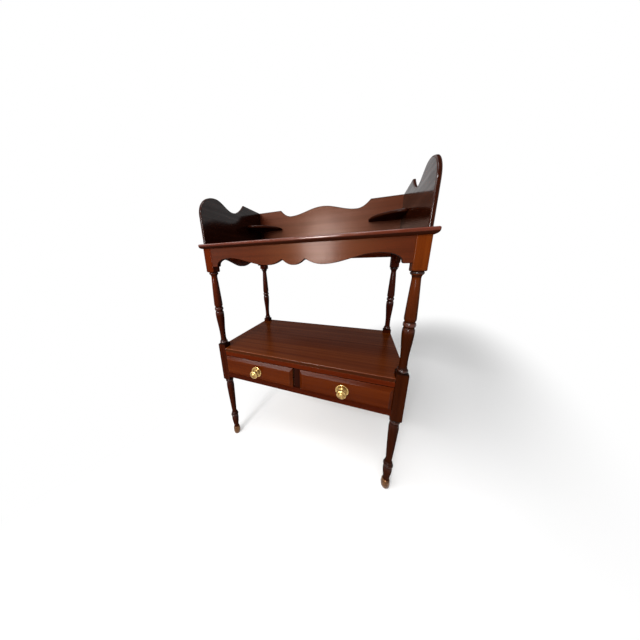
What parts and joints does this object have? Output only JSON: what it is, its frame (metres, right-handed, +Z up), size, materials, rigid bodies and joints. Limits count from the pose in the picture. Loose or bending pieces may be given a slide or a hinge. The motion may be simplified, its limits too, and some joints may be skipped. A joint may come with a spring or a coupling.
{
  "type": "washstand",
  "caption": "Mahogany washstand: galleried tray top with quarter-round corner shelves on turned legs, scalloped aprons, and a lower shelf over raised-panel drawers with brass knobs.",
  "frame": {"origin": "on the floor, at the middle of the object's box seen from above", "axes": "+Z up, +X to the right seen from the front, front (drawers and knobs) facing -Y"},
  "size_m": [0.632, 0.39, 0.9359],
  "materials": {
    "mahogany": "polished red-brown mahogany",
    "lining_wood": "unpolished pale drawer lining wood",
    "brass": "polished brass",
    "worn_brass": "dull worn brass",
    "steel": "plain steel"
  },
  "bodies": {
    "stand": {"leg_front_left": "mahogany", "leg_front_right": "mahogany", "leg_back_left": "mahogany", "leg_back_right": "mahogany", "toe_cap_front_left": "worn_brass", "toe_cap_front_right": "worn_brass", "toe_cap_back_left": "worn_brass", "toe_cap_back_right": "worn_brass", "front_apron": "mahogany", "left_apron": "mahogany", "right_apron": "mahogany", "back_rail": "mahogany", "tray_top": "mahogany", "back_gallery": "mahogany", "left_gallery": "mahogany", "right_gallery": "mahogany", "left_corner_shelf": "mahogany", "right_corner_shelf": "mahogany", "shelf_board": "mahogany", "upper_drawer_rail": "mahogany", "lower_drawer_rail": "mahogany", "centre_divider": "mahogany", "left_case_side": "mahogany", "right_case_side": "mahogany", "case_back": "mahogany", "left_runner": "lining_wood", "right_runner": "lining_wood", "centre_runner": "lining_wood", "left_kicker": "lining_wood", "right_kicker": "lining_wood", "centre_kicker": "lining_wood", "left_drawer_stop": "lining_wood", "right_drawer_stop": "lining_wood"},
    "left_drawer": {"left_drawer_front": "mahogany", "left_drawer_left_side": "lining_wood", "left_drawer_right_side": "lining_wood", "left_drawer_back": "lining_wood", "left_drawer_bottom": "lining_wood", "left_knob_plate": "brass", "left_knob": "brass", "left_knob_screw": "steel"},
    "right_drawer": {"right_drawer_front": "mahogany", "right_drawer_left_side": "lining_wood", "right_drawer_right_side": "lining_wood", "right_drawer_back": "lining_wood", "right_drawer_bottom": "lining_wood", "right_knob_plate": "brass", "right_knob": "brass", "right_knob_screw": "steel"}
  },
  "joints": [
    {"name": "left_drawer_slide", "type": "slide", "parent": "stand", "child": "left_drawer", "axis": [0, -1, 0], "range_m": [0, 0.2]},
    {"name": "right_drawer_slide", "type": "slide", "parent": "stand", "child": "right_drawer", "axis": [0, -1, 0], "range_m": [0, 0.2]}
  ]
}
